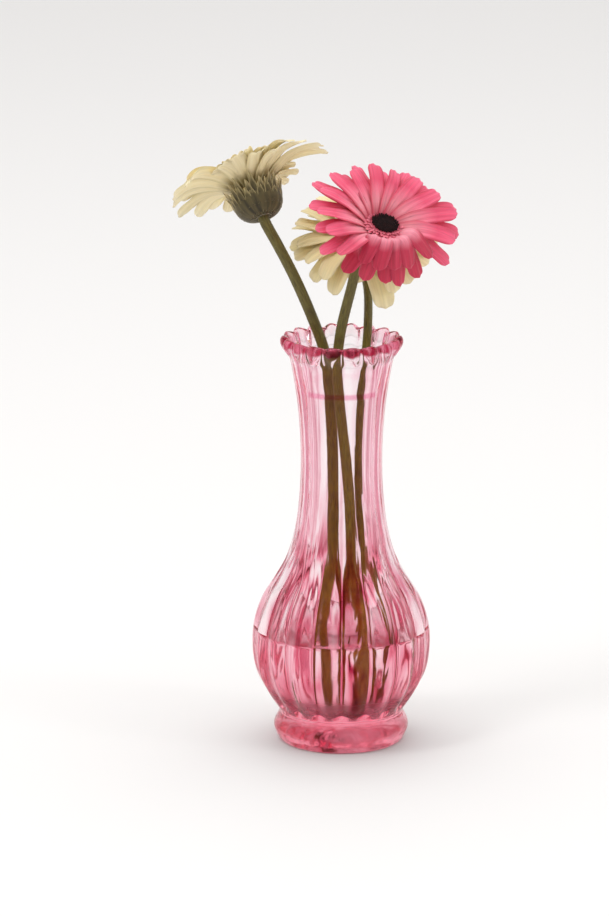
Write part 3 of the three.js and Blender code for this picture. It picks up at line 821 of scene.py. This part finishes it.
def make_water(materials):
    """The water, with close rings near its edge and a small rise round each stem."""
    side = water_outline()
    angles = full_turn(WATER_SIDES)
    shares = np.concatenate([1 - np.geomspace(0.001, 0.12, 10), np.linspace(0.86, 0.03, 50)])
    top_radii = side[-1, 0] * shares
    radii = np.concatenate([side[:, 0], top_radii])[:, None]
    heights = np.concatenate([side[:, 1], np.full(len(top_radii), WATER_Z)])[:, None]
    x, y = radii * np.cos(angles), radii * np.sin(angles)
    z = np.repeat(heights, WATER_SIDES, axis=1)
    rise = np.zeros_like(x)
    for bloom in BLOOMS:
        line = stem_line(bloom)
        at = line[np.argmin(np.abs(line[:, 2] - WATER_Z))]
        off = np.hypot(x - at[0], y - at[1]) - bloom["stem_radius"]
        rise = rise + WATER_RISE * np.exp(-np.clip(off, 0, None) / WATER_RISE_REACH)
    top = np.arange(len(radii)) >= len(side) - 1
    z[top] += rise[top]
    points = np.vstack([np.stack([x, y, z], axis=-1).reshape(-1, 3),
                        [[0, 0, side[0, 1]], [0, 0, z[-1].mean()]]])
    water = Builder()
    water.add(points, tube_faces(len(radii), WATER_SIDES))
    return water.make("clear_water", materials["water"], "water", ["water"])


# Blooms


def blade_path(shape):
    """Share, distance out, height and slope along a blade's middle line.

    It bends early for a low bend, and a fold from 0 to 1 gathers the bend round fold_at.
    """
    bend, fold = shape.get("bend", 1.3), shape.get("fold", 0)
    fold_at = shape.get("fold_at", 0.4)

    def slope_at(s):
        turned = lerp(s**bend, smoothstep(s, fold_at - 0.12, fold_at + 0.12), fold)
        return np.radians(lerp(shape["rise"], shape["fall"], turned))

    s = np.linspace(0, 1, BLADE_STEPS + 1)
    slope = slope_at((s[1:] + s[:-1]) / 2)
    step = shape["length"] / BLADE_STEPS
    x = shape["root_r"] + np.concatenate([[0], np.cumsum(np.cos(slope))]) * step
    z = shape["root_z"] + np.concatenate([[0], np.cumsum(np.sin(slope))]) * step
    return s, x, z, slope_at(s)


def blade_faces(rows, columns):
    """Faces of a blade's two sheets and of the border between them."""
    size = rows * columns
    upper = ring_faces(0, rows, columns, closed=False)
    lower = ring_faces(size, rows, columns, closed=False)[:, ::-1]
    border = np.concatenate([
        np.arange(columns - 1), np.arange(rows - 1) * columns + columns - 1,
        np.arange(columns - 1, 0, -1) + (rows - 1) * columns, np.arange(rows - 1, 0, -1) * columns,
    ])
    following = np.roll(border, -1)
    return [upper, lower, np.stack([border, border + size, following + size, following], axis=1)]


def blade_sheets(shape, t, q, random, thickness):
    """Points of a blade's upper and lower sheet, for t across from -1 to 1 and q along it."""
    shoulder, bluntness = shape.get("shoulder", 0.72), shape.get("bluntness", 2.2)
    tip = shoulder + (1 - shoulder) * np.power(1 - t**2, 1 / bluntness)
    notch = shape.get("notch", 0) * (np.exp(-((np.abs(t) - 0.34) / 0.13) ** 2))
    s = q * (tip - notch)
    path_s, *path = blade_path(shape)
    x, z, slope = (np.interp(s, path_s, values) for values in path)
    claw = lerp(shape.get("claw", 0.5), 1, smoothstep(s, 0, shape.get("widest", 0.62)))
    claw = claw * (1 - shape.get("taper", 0) * smoothstep(s, 0.5, 1))
    half = 0.5 * shape["width"] * claw
    across = t * half
    phase = random.uniform(0, 2 * np.pi)
    grooves = shape.get("groove", 0) * np.cos(t * np.pi * 2.6) * smoothstep(s, 0.05, 0.3)
    wave = shape.get("wave", 0) * np.sin(s * 7 + phase + t) * np.abs(t) ** 1.5 * smoothstep(s, 0.3, 0.8)
    curl = shape.get("curl", 0) * smoothstep(s, 0.72, 1.05) * random.uniform(-0.6, 1)
    lift = shape.get("cup", 0) * half * t**2 + grooves + wave - curl
    roll = np.radians(shape.get("tilt", 0) + shape.get("twist", 0) * s)
    sway = shape.get("sway", 0) * random.uniform(-1, 1) * s**2
    body = thickness / 2 * (1 - 0.75 * np.abs(t) ** 3) * (1 - 0.6 * smoothstep(s, 0.8, 1))
    sheets = []
    for sign in (1, -1):
        above = lift + sign * body
        out = across * np.cos(roll) - above * np.sin(roll) + sway
        up = across * np.sin(roll) + above * np.cos(roll)
        sheets.append(np.stack([x - up * np.sin(slope), out, z + up * np.cos(slope)], axis=-1))
    return np.concatenate(sheets).reshape(-1, 3)


def add_blade(mesh, shape, azimuth, random, rows, columns, thickness):
    """A petal, floret or bract as a closed sheet, thick in the middle and thin at its edge."""
    t = np.sin(np.linspace(-1, 1, columns) * np.pi / 2)[None, :]
    q = np.linspace(0, 1, rows)[:, None]
    x, y, z = blade_sheets(shape, t, q, random, thickness).T
    cosine, sine = np.cos(np.radians(azimuth)), np.sin(np.radians(azimuth))
    turned = np.stack([x * cosine - y * sine, x * sine + y * cosine, z], axis=1)
    uv = np.stack(np.broadcast_arrays((t + 1) / 2, q), axis=-1).reshape(-1, 2)
    under = np.repeat([0.0, 1.0], rows * columns)
    # A folded ray gets a low tone, which sets how much painted highlight, shade and shadow its petal
    # material lays on it.
    tone = max(random.uniform(0.5, 1) - 0.8 * shape.get("fold", 0), 0)
    mesh.add(turned, blade_faces(rows, columns), np.vstack([uv, uv]), tone=tone, under=under)


def angle_between(azimuth, other):
    return (azimuth - other + 180) % 360 - 180


def ray_shapes(bloom):
    """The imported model's rule for the rays: each one's azimuth and shape."""
    draw = seeded_draw(bloom["seed"])
    turn, _ = frame_of(bloom)
    stretch_azimuth, stretch_share = bloom["stretch"]
    sag_azimuth, sag_fall = bloom["sag"]
    for level, layer in enumerate(bloom["layers"]):
        for i in range(RAYS_PER_LAYER):
            azimuth = 360 / RAYS_PER_LAYER * (i + 0.5 + 0.5 * level) + RAY_JITTER["azimuth"] * draw()
            angle = math.radians(azimuth)
            heading = turn @ np.array([math.cos(angle), math.sin(angle), 0])
            downhill = max(0, -heading[2])
            sag = sag_fall * max(0, math.cos(math.radians(azimuth - sag_azimuth)))
            stretch = 1 + stretch_share * math.cos(math.radians(azimuth - stretch_azimuth))
            inside = (b for b in bloom["bands"] if abs(angle_between(azimuth, b[0])) < b[1])
            _, _, band_length, band_fall = next(inside, NO_BAND)
            length = layer["length"] * stretch * (1 + RAY_JITTER["length"] * draw()) * band_length
            width = layer["width"] * (1 + RAY_JITTER["width"] * draw())
            rise = layer["rise"] + RAY_JITTER["rise"] * draw()
            fall = layer["fall"] - bloom["hang"] * downhill + sag + RAY_JITTER["fall"] * draw()
            fold = bloom.get("fold", 0) * float(smoothstep(downhill, *FOLD_SLOPES))
            sideways = bloom.get("sideways", 0) * abs(heading[0]) ** 3
            yield azimuth, dict(
                RAY_SHAPE, root_z=layer["root_z"], length=length * (1 + sideways),
                width=width * bloom["broad"], rise=rise + 4 * fold, fall=fall + band_fall - 14 * fold,
                bend=bloom["bend"], fold=fold, fold_at=FOLD_AT[level], cup=0.14 - 0.5 * fold,
                twist=RAY_JITTER["twist"] * draw())


def make_rays(bloom, materials):
    """The long petals."""
    random = np.random.default_rng(bloom["seed"])
    rays = Builder()
    for azimuth, shape in ray_shapes(bloom):
        add_blade(rays, shape, azimuth, random, *RAY_SHEET)
    slot = bloom["petal_slot"]
    return rays.make("rays_" + bloom["name"], materials[slot], slot, ["bloom_" + bloom["name"]],
                     frame_of(bloom))


def lathe(mesh, outline, count):
    """A closed body of revolution about +Z, from the outline's first point to its last."""
    angles = full_turn(count)
    radius, z = np.array(outline, float).T
    rings = np.stack([
        radius[:, None] * np.cos(angles), radius[:, None] * np.sin(angles),
        np.repeat(z[:, None], count, axis=1),
    ], axis=-1)
    v = np.repeat(np.linspace(0, 1, len(radius))[:, None], count, axis=1)
    u = np.repeat(np.linspace(0, 6, count)[None, :], len(radius), axis=0)
    mesh.add(rings, ring_faces(0, len(radius), count), np.stack([u, v], axis=-1))


def make_collar(bloom, materials):
    """The receptacle and the rings of short florets that stand round the eye."""
    random = np.random.default_rng(bloom["seed"] + COLLAR_SEED)
    collar = Builder()
    lathe(collar, [(0, -3.8), (9.2, -3.8), (RECEPTACLE_RADIUS, 2), (9, 4.6), (EYE_RADIUS + 1.4, 5.2),
                   (EYE_RADIUS + 0.5, 5.1), (EYE_RADIUS, EYE_SEAT), (0.01, EYE_SEAT)], 48)
    # The florets stand steeper where the rays do, so that they don't pass through them.
    steepness = 5 * max(0, bloom["layers"][1]["rise"] - 46)
    for ring in COLLAR_RINGS:
        for i in range(COLLAR_FLORETS):
            azimuth = 360 / COLLAR_FLORETS * (i + random.uniform(-0.25, 0.25))
            shape = dict(
                ring, length=ring["length"] * random.uniform(0.85, 1.12),
                rise=ring["rise"] + steepness + random.uniform(-7, 7),
                fall=ring["fall"] + steepness + random.uniform(-12, 12),
                twist=random.uniform(-20, 20), **FLORET_SHAPE)
            add_blade(collar, shape, azimuth, random, *FLORET_SHEET)
    kind = "collar_pink" if bloom["name"] == "pink" else "collar_cream"
    return collar.make("collar_" + bloom["name"], materials[kind], bloom["petal_slot"],
                       ["bloom_" + bloom["name"]], disc_frame_of(bloom))


def make_eye(bloom, materials):
    """Small closed florets packed in a spiral on a dish, the outer ones taller."""
    random = np.random.default_rng(bloom["seed"] + EYE_SEED)
    eye = Builder()
    lathe(eye, [(0.01, EYE_SEAT), (EYE_RADIUS - 0.2, EYE_SEAT), (EYE_RADIUS - 0.3, EYE_SEAT + 0.8),
                (0.01, EYE_SEAT + 0.5)], 40)
    sides, levels = 6, 4
    level = np.linspace(0, 1, levels)[:, None]
    angles = full_turn(sides)[None, :]
    for i in range(EYE_FLORETS):
        share = (i + 0.5) / EYE_FLORETS
        r = (EYE_RADIUS + 1.2) * math.sqrt(share)
        azimuth = i * math.radians(GOLDEN_ANGLE)
        height = lerp(0.9, 1.9, share**2) * random.uniform(0.85, 1.15)
        girth = 0.44 * random.uniform(0.85, 1.15) * (0.8 + 0.4 * share)
        profile = girth * np.sqrt(np.clip(1 - level**3, 0, 1))
        lean = 0.22 * height * share
        x = r * math.cos(azimuth) + profile * np.cos(angles) + lean * math.cos(azimuth) * level
        y = r * math.sin(azimuth) + profile * np.sin(angles) + lean * math.sin(azimuth) * level
        z = np.repeat(EYE_SEAT + 0.4 + height * level, sides, axis=1)
        uv = np.stack(np.broadcast_arrays(level, angles * 0 + i / EYE_FLORETS), axis=-1)
        eye.add(np.stack([x, y, z], axis=-1), ring_faces(0, levels, sides), uv)
    slot = bloom["eye_slot"]
    return eye.make("florets_" + bloom["name"], materials[slot], slot, ["eye_" + bloom["name"]],
                    disc_frame_of(bloom))


def make_calyx(bloom, materials):
    """The calyx bowl with its rows of narrow bracts."""
    random = np.random.default_rng(bloom["seed"] + CALYX_SEED)
    calyx = Builder()
    bowl = bloom["calyx"]["bowl"]
    bottom = bloom["calyx"]["base"] - 1.6
    outline = spline([(2.6, bottom), *bowl], 5)
    lathe(calyx, [(0.01, bottom), *outline, (0.01, bowl[-1][1])], 44)
    for level, row in enumerate(bloom["calyx"]["bracts"]):
        for i in range(BRACTS_PER_ROW):
            azimuth = 360 / BRACTS_PER_ROW * (i + 0.5 * level + random.uniform(-0.25, 0.25))
            shape = dict(
                row, length=row["length"] * random.uniform(0.72, 1.05),
                fall=row["fall"] + random.uniform(-5, 5), twist=random.uniform(-5, 5), **BRACT_SHAPE)
            add_blade(calyx, shape, azimuth, random, *BRACT_SHEET)
    return calyx.make("calyx_" + bloom["name"], materials["bract"], "stalk_green",
                      ["stem_" + bloom["name"]], frame_of(bloom))


def stem_frames(line):
    """The direction of a line at its points, and two steady directions across it."""
    along = np.gradient(line, axis=0)
    along /= np.linalg.norm(along, axis=1, keepdims=True)
    side = np.cross(along, [0, 1, 0])
    side /= np.linalg.norm(side, axis=1, keepdims=True)
    return along, side, np.cross(along, side)


def make_stalk(bloom, materials):
    """A finely ribbed stalk."""
    line = resample(stem_line(bloom), 150)
    _, side, other = stem_frames(line)
    sides = 28
    angles = full_turn(sides)[None, :]
    share = np.linspace(0, 1, len(line))[:, None]
    ribs = 1 + 0.02 * np.cos(angles * 9 + 3 * share) + 0.012 * np.sin(share * 40 + angles * 2)
    radius = bloom["stem_radius"] * lerp(1, 0.94, share) * ribs
    skin = (line[:, None, :] + (radius * np.cos(angles))[..., None] * side[:, None, :]
            + (radius * np.sin(angles))[..., None] * other[:, None, :])
    points = np.vstack([skin.reshape(-1, 3), line[:1], line[-1:]])
    uv = np.stack(np.broadcast_arrays(angles / (2 * np.pi), share * 8), axis=-1).reshape(-1, 2)
    uv = np.vstack([uv, [[0, 0], [0, 8]]])
    stalk = Builder()
    stalk.add(points, [faces[:, ::-1] for faces in tube_faces(len(line), sides)], uv)
    return stalk.make("stalk_" + bloom["name"], materials["stalk"], "stalk_green",
                      ["stem_" + bloom["name"]])


def make_hairs(bloom, materials):
    """Fine hairs on the part of the stalk above the water."""
    random = np.random.default_rng(bloom["seed"] + HAIR_SEED)
    line = resample(stem_line(bloom), 400)
    along, side, other = stem_frames(line)
    first = int(np.argmax(line[:, 2] > WATER_Z + 2))
    at = random.integers(first, len(line) - 8, HAIRS_PER_STALK)
    angle = random.uniform(0, 2 * np.pi, HAIRS_PER_STALK)
    out = np.cos(angle)[:, None] * side[at] + np.sin(angle)[:, None] * other[at]
    beside = (np.cos(angle)[:, None] * other[at] - np.sin(angle)[:, None] * side[at]) * HAIR_HALF_WIDTH
    above = along[at] * HAIR_HALF_WIDTH * 1.6
    root = line[at] + out * bloom["stem_radius"] * 0.95
    length = random.uniform(0.5, 1.2, HAIRS_PER_STALK)[:, None]
    lean = random.uniform(0.1, 0.7, HAIRS_PER_STALK)[:, None]
    tip = root + out * length + along[at] * length * lean
    corners = np.stack([root - beside, root + beside, root + above, tip], axis=1)
    first_corner = (np.arange(HAIRS_PER_STALK) * 4)[:, None, None]
    faces = (np.array([[0, 1, 3], [1, 2, 3], [2, 0, 3]])[None] + first_corner).reshape(-1, 3)
    hairs = Builder()
    hairs.add(corners.reshape(-1, 3), faces)
    return hairs.make("hairs_" + bloom["name"], materials["hair"], "stalk_green",
                      ["stem_" + bloom["name"]])


# Studio


def make_camera():
    """The photo's view."""
    camera = bpy.data.cameras.new("camera")
    camera.lens = CAMERA_LENS
    camera.sensor_width = 36
    camera.clip_end = 100
    viewer = bpy.data.objects.new("camera", camera)
    viewer.location = CAMERA_PLACE
    viewer.rotation_euler = (math.radians(CAMERA_TILT), 0, 0)
    bpy.context.scene.collection.objects.link(viewer)
    bpy.context.scene.camera = viewer


def make_floor():
    """A pale table without an edge in view."""
    mesh = bpy.data.meshes.new("floor")
    corners = [(x * FLOOR_HALF, y * FLOOR_HALF, 0) for x, y in ((-1, -1), (1, -1), (1, 1), (-1, 1))]
    mesh.from_pydata(corners, [], [(0, 1, 2, 3)])
    material, _, shader = new_material("pale_floor")
    set_inputs(shader, {"Base Color": (0.88, 0.87, 0.865, 1), "Roughness": 0.7})
    mesh.materials.append(material)
    floor = bpy.data.objects.new("floor", mesh)
    bpy.context.scene.collection.objects.link(floor)


def add_light(name, location, target, size, power):
    light = bpy.data.lights.new(name, "AREA")
    light.shape = "RECTANGLE"
    light.size, light.size_y = size
    light.energy = power
    lamp = bpy.data.objects.new(name, light)
    lamp.location = location
    lamp.rotation_euler = (Vector(target) - Vector(location)).to_track_quat("-Z", "Y").to_euler()
    bpy.context.scene.collection.objects.link(lamp)


def make_lights():
    """A bright studio behind and over the object, and a dimmer one with two soft lamps in front."""
    scene = bpy.context.scene
    scene.view_settings.view_transform = "Standard"
    scene.cycles.max_bounces = LIGHT_BOUNCES
    scene.cycles.transmission_bounces = LIGHT_BOUNCES
    scene.cycles.glossy_bounces = GLOSSY_BOUNCES
    world = bpy.data.worlds.new("studio")
    world.use_nodes = True
    tree = world.node_tree
    direction = add_node(tree, "TexCoord").outputs["Generated"]
    back = add_node(tree, "SeparateXYZ", {0: direction}).outputs[1]
    strength = map_range(tree, back, -0.5, 0.4, 0.6, 0.95)
    background = tree.nodes["Background"]
    background.inputs["Color"].default_value = (1, 0.99, 0.98, 1)
    tree.links.new(strength, background.inputs["Strength"])
    scene.world = world
    middle = (0, 0, 0.2)
    add_light("overhead", (0, 0.3, 2.8), middle, (3.2, 3.2), 30)
    add_light("key", (-1.2, -0.8, 2.0), middle, (0.5, 0.8), 8)
    add_light("side", (1.5, -0.7, 0.7), middle, (0.25, 1.2), 4)


def make_pieces():
    """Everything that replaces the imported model's nodes."""
    materials = make_materials()
    make_vase(materials)
    make_water(materials)
    for bloom in BLOOMS:
        make_stalk(bloom, materials)
        make_hairs(bloom, materials)
        make_calyx(bloom, materials)
        make_rays(bloom, materials)
        make_collar(bloom, materials)
        make_eye(bloom, materials)


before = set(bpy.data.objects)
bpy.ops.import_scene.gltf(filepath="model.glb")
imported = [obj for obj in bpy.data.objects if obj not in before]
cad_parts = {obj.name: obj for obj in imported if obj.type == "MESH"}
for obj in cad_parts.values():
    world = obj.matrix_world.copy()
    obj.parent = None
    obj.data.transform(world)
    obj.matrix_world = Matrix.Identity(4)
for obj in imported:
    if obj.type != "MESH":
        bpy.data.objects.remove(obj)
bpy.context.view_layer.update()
make_camera()
make_floor()
make_lights()
make_pieces()
